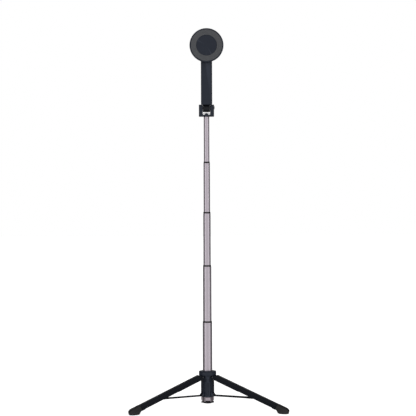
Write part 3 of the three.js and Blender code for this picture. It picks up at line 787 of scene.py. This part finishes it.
def leg_profile():
    """The leg's outline from the side, with round ears at its pin."""
    skin_from, notch = EAR["skin_from"], EAR["notch"]
    reach = LEG["length"] + REACH
    low, high = -LEG["below"] - REACH, LEG["above"] + REACH
    outline = arc((0, 0), EAR["radius"], EAR["from"], EAR["to"], 24)
    outline += [(skin_from, -LEG["below"]), (RAIL["start"], low), (reach, low), (reach, high)]
    outline.append((skin_from + EAR["ramp"], high))
    outline += [(skin_from, LEG["above"] - LEG_EDGE["drop"]), (notch, notch)]
    return across_y(outline, -LEG["half"] - REACH, LEG["half"] + REACH)


def leg_solid():
    inside = LEG["half"] - LEG["wall"]
    wide = LEG["half"] + REACH
    deep = LEG["below"] * (1 + LEG["taper"]) + REACH
    half, web_half, below = TANG["half"], inside + WEB_SINK, TANG["below"]
    tang = block((TANG["start"], TANG["end"]), (-half, half), (-below, TANG["above"]))
    web = block((TANG["start"], LEG["length"]), (-web_half, web_half), (-below, LEG["above"] - WEB_SINK))
    back, foot = EAR["slot"]
    ears = block((back, EAR["skin_from"]), (-inside, inside), (foot, LEG["above"] + REACH))
    rail = block((RAIL["start"], RAIL["end"]), (-wide, wide), (-deep, RAIL["lift"] - LEG["below"]))
    solid = join(common(leg_channel(), leg_profile()), tang, web)
    return soften(cut(solid, ears, rail, rod_along_y(LEG_PIN["bore"], wide)), 0.16, 2, 50)


def boot_ring(x, swell):
    """A round-cornered section of the boot; swell is 1 at its full size and falls to 0 at the toe."""
    share = min(max((x - BOOT_HEEL["start"]) / (BOOT_HEEL["end"] - BOOT_HEEL["start"]), 0), 1)
    drop = BOOT["below"] - BOOT_HEEL["below"]
    below = BOOT_HEEL["below"] + drop * math.sin(share * math.pi / 2)
    flat = BOOT_TOE["flat"]
    half = BOOT["half"] * swell
    high = (BOOT["above"] + below) / 2 * (flat + (1 - flat) * swell)
    middle = (BOOT["above"] - below) / 2
    points = []
    for k in range(SMALL_ROUND):
        angle = 2 * math.pi * k / SMALL_ROUND
        across, up = math.cos(angle), math.sin(angle)
        y = half * math.copysign(abs(across) ** BOOT["squareness"], across)
        z = middle + high * math.copysign(abs(up) ** BOOT["squareness"], up)
        points.append((x, y, z))
    return points


def boot_solid():
    """A moulded boot: a lip where the leg goes in, a full body, a round toe and a flat sole."""
    start, end, gap = BOOT["start"], BOOT["end"], BOOT_SOCKET["gap"]
    length, steps = BOOT_TOE["length"], BOOT_TOE["steps"]
    rings = [boot_ring(start + along, swell) for along, swell in BOOT_LIP]
    for k in range(steps + 1):
        angle = math.radians(BOOT_TOE["turn"] * k / steps)
        x = end - length + length * math.sin(angle)
        rings.append(boot_ring(x, math.cos(angle) ** BOOT_TOE["bluntness"]))
    half, below, above = TANG["half"] + gap, TANG["below"] + gap, TANG["above"] + gap
    socket = block((start - REACH, BOOT_SOCKET["end"]), (-half, half), (-below, above))
    level, wide = box_mm("foot_1")[0].z, GROUND["half"]
    ground = block((GROUND["start"], GROUND["end"]), (-wide, wide), (level - wide, level))
    return soften(cut(loft(rings), socket, moved(ground, leg_place(0).inverted())), 0.25, 3, 45)


def leg_place(angle):
    pivot = shift(LEG_PIVOT["radius"], 0, LEG_PIVOT["height"])
    return turn(angle, "Z") @ pivot @ turn(LEG_SLOPE, "Y")


def rivet(pin, inside, outside):
    """A pin along Y with a low domed head on each end."""
    rise = outside - inside
    dome = [(0, 0), *bow((pin["head"], 0), (pin["head"], rise), (0, rise), 8)]
    ends = [shift(0, side * inside, 0) @ turn(-90 * side, "X") for side in (-1, 1)]
    heads = [moved(lathe(dome, SMALL_ROUND), end) for end in ends]
    return join(rod_along_y(pin["radius"], inside), *heads)


def make_legs():
    for number, angle in enumerate(LEGS, start=1):
        place = leg_place(angle)
        body = f"leg_{number}"
        piece(f"leg_{number}", leg_solid(), body, "dark_leg", place)
        piece(f"foot_{number}", boot_solid(), body, "rubber", place)
        pin = rivet(LEG_PIN, LEG_PIN["inside"], LEG_PIN["outside"])
        piece(f"leg_pin_{number}", pin, "base", "steel", place, "blackened_steel")


# ---- Struts and runners ----

def strut_solid():
    """A flat bar with an eye at each end and a shallow channel in both faces."""
    length, half, thick, eye = STRUT["length"], STRUT["half"], STRUT["thick"], STRUT["eye"]
    spread = math.degrees(math.asin(thick / 2 / eye))
    outline = arc((0, 0), eye, spread, 360 - spread, 28)
    outline += arc((length, 0), eye, spread - 180, 180 - spread, 28)
    bores = [rod_along_y(STRUT["bore"], half + REACH)]
    bores.append(moved(rod_along_y(STRUT["outer_bore"], half + REACH), shift(length)))
    start, across = STRUT_GROOVE["from_eye"], half - STRUT_GROOVE["border"]
    groove = fillet(rectangle((start, length - start), (-across, across)), STRUT_GROOVE["corner"], 6)
    floor = thick / 2 - STRUT_GROOVE["depth"]
    grooves = [prism(groove, floor, thick), prism(groove, -thick, -floor)]
    return soften(cut(across_y(outline, -half, half), *bores, *grooves), 0.3, 3, 45)


def runner_solid():
    """Two sliding shoes on one axle."""
    length, height = SHOE["half_length"], SHOE["half_height"]
    outline = fillet(rectangle((-length, length), (-height, height)), SHOE["corner"], 6)
    shoes = [across_y(outline, *sorted([side * RUNNER["start"], side * RUNNER["end"]])) for side in (-1, 1)]
    return soften(join(rod_along_y(RUNNER["axle"], RUNNER["axle_end"]), *shoes), 0.15, 2, 50)


def make_struts():
    for number, angle in enumerate(LEGS, start=1):
        hinge = turn(angle, "Z") @ shift(STRUT_PIVOT["radius"], 0, STRUT_PIVOT["height"])
        shoe = hinge @ shift(STRUT["length"]) @ turn(LEG_SLOPE, "Y")
        strut, runner, pin = f"strut_{number}", f"runner_{number}", f"strut_pin_{number}"
        piece(strut, strut_solid(), strut, "black_plastic", hinge)
        piece(runner, runner_solid(), runner, "nylon", shoe)
        rivets = rivet(STRUT_PIN, CHEEK["end"] + FIT / 2, STRUT_PIN["head_end"])
        piece(pin, rivets, "base", "steel", hinge, "blackened_steel")


# ---- Yoke ----

def yoke_solid():
    """A block slotted for the knuckle, with big soft outer corners and a low bump under the spring."""
    low, high = box_mm("yoke")
    half, depth, bottom, flat = YOKE["half"], YOKE["depth"], YOKE["bottom"], YOKE["flat"]
    side = [(-depth, bottom), (depth, bottom), (depth, TILT)]
    side += bow((depth, TILT), (depth, high.z), (flat, high.z), 14)[1:]
    side += bow((-flat, high.z), (-depth, high.z), (-depth, TILT), 14)
    side = fillet(side, [YOKE["foot_corner"]] * 2 + [0.0] * (len(side) - 2))
    plan = fillet(rectangle((-half, half), (-depth, depth)), YOKE["corner"], 8)
    body = common(along_x(side, -half, half), prism(plan, bottom - REACH, high.z + REACH))
    spigot = rod(YOKE_SPIGOT, low.z, bottom, ROUND)
    slot = rectangle((-YOKE_SLOT["half"], YOKE_SLOT["half"]), (YOKE_SLOT["floor"], high.z + REACH))
    slot = fillet(slot, [YOKE_SLOT["corner"], YOKE_SLOT["corner"], 0.0, 0.0])
    lift = shift(0, 0, TILT)
    along_pin = lift @ turn(90, "Y")
    pocket = hexagon_along_z(TILT_NUT["pocket"], -half - REACH, TILT_NUT["floor"])
    seat = rod(TILT_SEAT["radius"], TILT_SEAT["floor"], half + REACH)
    tools = [across_y(slot, -depth - REACH, depth + REACH)]
    tools.append(moved(rod_along_x(TILT_PIN["bore"], -half - REACH, half + REACH), lift))
    tools += [moved(pocket, along_pin), moved(seat, along_pin)]
    foot, wide, deep = YOKE_SLOT["floor"] - FIT, YOKE_BUMP["half"], YOKE_BUMP["depth"]
    bump = bow((-wide, foot), (0, 2 * YOKE_BUMP["peak"] - foot), (wide, foot), 24)
    return soften(join(cut(join(body, spigot), *tools), across_y(bump, -deep, deep)), 0.4, 3, 40)


def tilt_pin_solid():
    """A screw with a domed head and a hexagon socket."""
    radius, start, chamfer = TILT_PIN["radius"], TILT_PIN["start"], TILT_PIN["chamfer"]
    head, end = TILT_HEAD["radius"], TILT_HEAD["end"]
    under = TILT_PIN["end"] + chamfer
    dome = (under + end) / 2
    outline = [(0, start), (radius - chamfer, start), (radius, start + chamfer), (radius, under)]
    outline += [(head - FIT, under), (head, dome - FIT)]
    outline += bow((head, dome), (head * TILT_HEAD["shoulder"], end), (head * TILT_HEAD["flat"], end), 8)
    outline.append((0, end))
    socket = hexagon_along_z(TILT_HEAD["socket"], end - TILT_HEAD["socket_depth"], end + REACH)
    return moved(cut(lathe(outline, SMALL_ROUND), socket), shift(0, 0, TILT), turn(90, "Y"))


def tilt_nut_solid():
    """A hexagon nut with turned-down corners."""
    start, end, radius = TILT_NUT["start"], TILT_NUT["end"], TILT_NUT["radius"]
    bore, edge, corner = TILT_PIN["bore"], 2 * FIT, TILT_NUT["corner"]
    corners = [(bore, start), (radius, start), (radius, end), (bore, end)]
    round_body = lathe(fillet(corners, [edge, corner, corner, edge]), SMALL_ROUND)
    nut = common(round_body, hexagon_along_z(radius, start, end))
    return moved(nut, shift(0, 0, TILT), turn(90, "Y"))


def spring_solid():
    """A leaf spring arched under the knuckle, its feet on the slot's floor."""
    half, foot, thick = SPRING["half"], SPRING["foot"], SPRING["thick"]
    shoulder, peak = SPRING["shoulder"], SPRING["peak"]
    outer = bow((-half, shoulder), (0, 2 * peak - shoulder), (half, shoulder), 40)
    low_shoulder = shoulder - thick / 2
    control = 2 * (peak - thick) - low_shoulder
    inner = bow((half - thick, low_shoulder), (0, control), (thick - half, low_shoulder), 40)
    outline = [(-half, foot), *outer, (half, foot), (half - thick, foot), *inner, (thick - half, foot)]
    return soften(across_y(outline, -SPRING["depth"], SPRING["depth"]), 0.12, 2, 50)


def make_yoke():
    piece("yoke", yoke_solid(), "stage_1", "dark_shell")
    piece("tilt_pin", tilt_pin_solid(), "stage_1", "steel")
    piece("tilt_nut", tilt_nut_solid(), "stage_1", "steel")
    piece("detent_spring", spring_solid(), "stage_1", "steel")


# ---- Neck ----

def neck_outline(half):
    """The neck from the front: rounded lower corners and a round top about the disc's axis."""
    bottom, top = TILT + NECK["start"], TILT + NECK["to_head"]
    corners = [(-half, top), (-half, bottom), (half, bottom), (half, top)]
    lower = fillet(corners, [0, NECK["corner"], NECK["corner"], 0], 8)
    return lower[1:-1] + arc((0, top), half, 0, 180, 48)


def neck_outline_inset(half, inset):
    """The neck's outline drawn in by inset, point for point."""
    outline = neck_outline(half)
    drawn_in = []
    for k, point in enumerate(outline):
        before = Vector(outline[k - 1])
        after = Vector(outline[(k + 1) % len(outline)])
        along = (after - before).normalized()
        inward = Vector((-along.y, along.x))
        drawn_in.append(tuple(Vector(point) + inward * inset))
    return drawn_in


def bore_to_front(radius, height, back, front, segments=SMALL_ROUND):
    """A rod along Y at a height over the tilt pin, from back to front."""
    return moved(rod(radius, back, front, segments), shift(0, 0, TILT + height), turn(90, "X"))


def neck_cover_solid():
    """The long cover: a convex front that rolls over into its sides."""
    half, back, front = NECK_COVER["half"], NECK_COVER["back"], NECK_COVER["front"]
    shoulder, steps = NECK_COVER["shoulder"], NECK_COVER["steps"]
    # The back edge, then rings over the neck's outline, each a little smaller and further forward.
    rings = [[(x, -back, z) for x, z in neck_outline(half)]]
    for k in range(steps + 1):
        angle = math.radians(90 * k / steps)
        inset = NECK_COVER["roll"] * (1 - math.cos(angle))
        y = -shoulder - (front - shoulder) * math.sin(angle)
        rings.append([(x, y, z) for x, z in neck_outline_inset(half, inset)])
    radius, start = NECK_SCREW["bore"], back - REACH
    bores = [bore_to_front(radius, height, start, front - REACH) for height in NECK_SCREW["heights"]]
    bores.append(bore_to_front(NECK["bore"], NECK["to_head"], start, front + REACH, ROUND))
    return cut(loft(rings), *bores)


def neck_frame_solid():
    """The frame behind the cover, with the knuckle that turns in the yoke."""
    half, back, front = NECK_FRAME["half"], NECK_FRAME["back"], NECK_FRAME["front"]
    radius, width, edge = KNUCKLE["radius"], KNUCKLE["half"], KNUCKLE["edge"]
    plate = soften(across_y(neck_outline(half), -front, -back), 0.5, 3)
    barrel = fillet([(0, -width), (radius, -width), (radius, width), (0, width)], [0, edge, edge, 0])
    start, low, high = KNUCKLE_WEB["start"], KNUCKLE_WEB["low"], KNUCKLE_WEB["high"]
    foot = -back - KNUCKLE_WEB["sink"]
    bend = (KNUCKLE_WEB["bend"][0] - back, KNUCKLE_WEB["bend"][1])
    web = [(0, 0), (-start, start), (foot, low), (foot, high)]
    web += bow((-back, high), bend, (0, radius - FIT), 10)
    lift = shift(0, 0, TILT)
    hinge = moved(join(moved(lathe(barrel), turn(90, "Y")), along_x(web, -width, width)), lift)
    bores = [moved(rod_along_x(TILT_PIN["bore"], -width - REACH, width + REACH), lift)]
    sunk = back + SCREW_HEAD["thick"] + 3 * FIT
    for height in NECK_SCREW["heights"]:
        bores.append(bore_to_front(NECK_SCREW["bore"], height, back - REACH, front + REACH))
        bores.append(bore_to_front(SCREW_HEAD["sink"], height, back - REACH, sunk))
    bores.append(bore_to_front(NECK["bore"], NECK["to_head"], back - REACH, front + REACH, ROUND))
    return soften(cut(join(plate, hinge), *bores), 0.2, 2, 45)


def neck_screw_solid(height):
    """A countersunk screw with a cross recess, seen from behind."""
    head, radius = SCREW_HEAD["radius"], NECK_SCREW["radius"]
    start = NECK_FRAME["back"] + FIT
    under, tip = start + SCREW_HEAD["thick"], NECK_COVER["front"] - NECK_SCREW["skin"]
    outline = bow((0, start), (head * 0.8, start), (head, start + SCREW_HEAD["rim"]), 6)
    outline += [(head, under), (radius, under), (radius, tip), (0, tip)]
    long, short = SCREW_HEAD["slot"]
    depth = (start - REACH, start + SCREW_HEAD["slot_depth"])
    slots = join(block((-long, long), (-short, short), depth), block((-short, short), (-long, long), depth))
    return moved(cut(lathe(outline, SMALL_ROUND), slots), shift(0, 0, TILT + height), turn(90, "X"))


def make_neck():
    piece("arm_front_cover", neck_cover_solid(), "arm", "dark_shell")
    piece("arm_back_frame", neck_frame_solid(), "arm", "black_plastic")
    for number, height in enumerate(NECK_SCREW["heights"], start=1):
        piece(f"arm_screw_{number}", neck_screw_solid(height), "arm", "steel")


# ---- Magnetic head: heights run forward from the disc's back plane ----

HEAD_PLACE = shift(0, -HEAD_BACK, TILT + NECK["to_head"]) @ turn(90, "X")


def head_back_solid():
    radius, seam, rim, wall = HEAD["radius"], HEAD["seam"], HEAD["rim"], HEAD["wall"]
    bore = NECK["bore"]
    corners = [(bore, 0), (radius - 0.4, 0), (radius, seam), (rim, seam), (rim, wall), (bore, wall)]
    return lathe(fillet(corners, [0.3, 2.2, 0.15, 0.1, 0.4, 0.2], 8), ROUND)


def head_front_solid():
    radius, rim, start = HEAD["radius"], HEAD["rim"], HEAD["front_start"]
    plate, top = HEAD["plate"], HEAD["top"]
    inner, outer, floor = PAD_SEAT["inner"], PAD_SEAT["outer"], PAD_SEAT["floor"]
    corners = [(0, plate), (rim, plate), (rim, start), (radius, start), (radius, top)]
    corners += [(outer, top), (outer, floor), (inner, floor), (inner, top), (0, top)]
    return lathe(fillet(corners, [0, 0.1, 0.1, 0.15, 0.9, 0.1, 0.1, 0.1, 0.5, 0], 6), ROUND)


def pad_solid():
    """The soft ring that grips the phone, with fine grooves round it."""
    inner, outer, start, top = PAD["inner"], PAD["outer"], PAD["start"], PAD["top"]
    step = (outer - inner) / (PAD["grooves"] + 1)
    outline = [(inner, start), (outer, start), (outer, top)]
    for k in range(PAD["grooves"], 0, -1):
        middle, depth = inner + k * step, PAD["groove_depth"]
        outline += [(middle + depth, top), (middle, top - depth), (middle - depth, top)]
    outline.append((inner, top))
    return lathe(fillet(outline, 0.12, 3), ROUND)


def swivel_screw_solid():
    """A low screw head with a hexagon socket."""
    radius, head, start = SWIVEL_SCREW["radius"], SWIVEL_SCREW["head"], SWIVEL_SCREW["start"]
    under, tip = SWIVEL_SCREW["head_end"], SWIVEL_SCREW["end"]
    corners = [(0, start), (head, start), (head, under), (radius, under), (radius, tip), (0, tip)]
    profile = fillet(corners, [0, 0.6, 0.1, 0.1, 0.3, 0])
    socket = hexagon_along_z(SWIVEL_SCREW["socket"], start - REACH, start + SWIVEL_SOCKET_DEPTH)
    return cut(lathe(profile, ROUND), socket)


def make_head():
    piece("head_back_shell", head_back_solid(), "head", "black_plastic", HEAD_PLACE)
    piece("head_front_shell", head_front_solid(), "head", "dark_shell", HEAD_PLACE)
    piece("magnet_pad", pad_solid(), "head", "silicone", HEAD_PLACE)
    piece("swivel_screw", swivel_screw_solid(), "head", "steel", HEAD_PLACE)


# ---- Studio ----

CAMERA_FROM = Vector((-0.0633, -2.489, 0.3232))
CAMERA_TURN = {"yaw": -1.5, "roll": 0.25}
LENS = 129.8
FLOOR = {"size": 30.0, "grey": 0.86, "roughness": 0.9, "glow": 0.85}
# What the room's light is at each share of the way from the camera's side to the far side.
ENVIRONMENT = [(0.0, 0.74), (0.04, 0.80), (0.11, 0.95), (0.28, 0.52), (0.50, 0.20), (0.84, 0.08), (1.0, 0.4)]
# Each light's place and size in metres, and its power in watts.
LIGHTS = {
    "left_softbox": ((-1.45, -0.95, 0.55), (0.55, 1.7), 2.6),
    "right_softbox": ((1.45, -0.95, 0.55), (0.55, 1.7), 2.2),
    "top_softbox": ((0, -0.3, 2.1), (1.6, 1.6), 3.5),
}
AIM = Vector((0, 0, 0.3))


def make_camera():
    data = bpy.data.cameras.new("camera")
    data.lens = LENS
    data.sensor_width = 36
    camera = bpy.data.objects.new("camera", data)
    camera.location = CAMERA_FROM
    roll, yaw = math.radians(CAMERA_TURN["roll"]), math.radians(CAMERA_TURN["yaw"])
    camera.rotation_euler = (math.radians(90), roll, yaw)
    bpy.context.scene.collection.objects.link(camera)
    bpy.context.scene.camera = camera


def make_floor():
    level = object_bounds()[0][2]
    half = FLOOR["size"] / 2
    grey = FLOOR["grey"]
    mesh = bpy.data.meshes.new("floor")
    corners = [(-half, -half, level), (half, -half, level), (half, half, level), (-half, half, level)]
    mesh.from_pydata(corners, [], [(0, 1, 2, 3)])
    material = bpy.data.materials.new("floor")
    material.use_nodes = True
    shader = material.node_tree.nodes["Principled BSDF"]
    shader.inputs["Base Color"].default_value = (grey, grey, grey, 1)
    shader.inputs["Roughness"].default_value = FLOOR["roughness"]
    shader.inputs["Emission Color"].default_value = (1, 1, 1, 1)
    shader.inputs["Emission Strength"].default_value = FLOOR["glow"]
    mesh.materials.append(material)
    floor = bpy.data.objects.new("floor", mesh)
    bpy.context.scene.collection.objects.link(floor)
    floor.visible_diffuse = False
    floor.visible_glossy = False


def make_world():
    """A white backdrop to look at, and a soft box of a room to be lit by, darker at its far sides."""
    world = bpy.data.worlds.new("studio")
    world.use_nodes = True
    nodes, links = world.node_tree.nodes, world.node_tree.links
    backdrop = nodes["Background"]
    direction = nodes.new("ShaderNodeTexCoord").outputs["Generated"]
    split = nodes.new("ShaderNodeSeparateXYZ")
    links.new(direction, split.inputs["Vector"])
    depth = nodes.new("ShaderNodeMapRange")
    depth.inputs["From Min"].default_value = -1.0
    links.new(split.outputs["Y"], depth.inputs["Value"])
    ramp = nodes.new("ShaderNodeValToRGB")
    stops = ramp.color_ramp.elements
    while len(stops) < len(ENVIRONMENT):
        stops.new(0.5)
    for stop, (position, value) in zip(stops, ENVIRONMENT):
        stop.position = position
        stop.color = (value, value, value, 1)
    links.new(depth.outputs["Result"], ramp.inputs["Fac"])
    seen = nodes.new("ShaderNodeMixRGB")
    links.new(nodes.new("ShaderNodeLightPath").outputs["Is Camera Ray"], seen.inputs["Fac"])
    links.new(ramp.outputs["Color"], seen.inputs["Color1"])
    seen.inputs["Color2"].default_value = (1, 1, 1, 1)
    links.new(seen.outputs["Color"], backdrop.inputs["Color"])
    bpy.context.scene.world = world


def softbox(name, place, size, power):
    """A rectangular light aimed at the middle of the stick."""
    data = bpy.data.lights.new(name, "AREA")
    data.shape = "RECTANGLE"
    data.size, data.size_y = size
    data.energy = power
    light = bpy.data.objects.new(name, data)
    light.location = place
    light.rotation_euler = (AIM - Vector(place)).to_track_quat("-Z", "Y").to_euler()
    bpy.context.scene.collection.objects.link(light)


def make_lights():
    for name, (place, size, power) in LIGHTS.items():
        softbox(name, place, size, power)


make_camera()
finish_cad_nodes()
make_stick()
make_base()
make_legs()
make_struts()
make_yoke()
make_neck()
make_head()
make_floor()
make_world()
make_lights()
bpy.context.scene.view_settings.view_transform = "Standard"
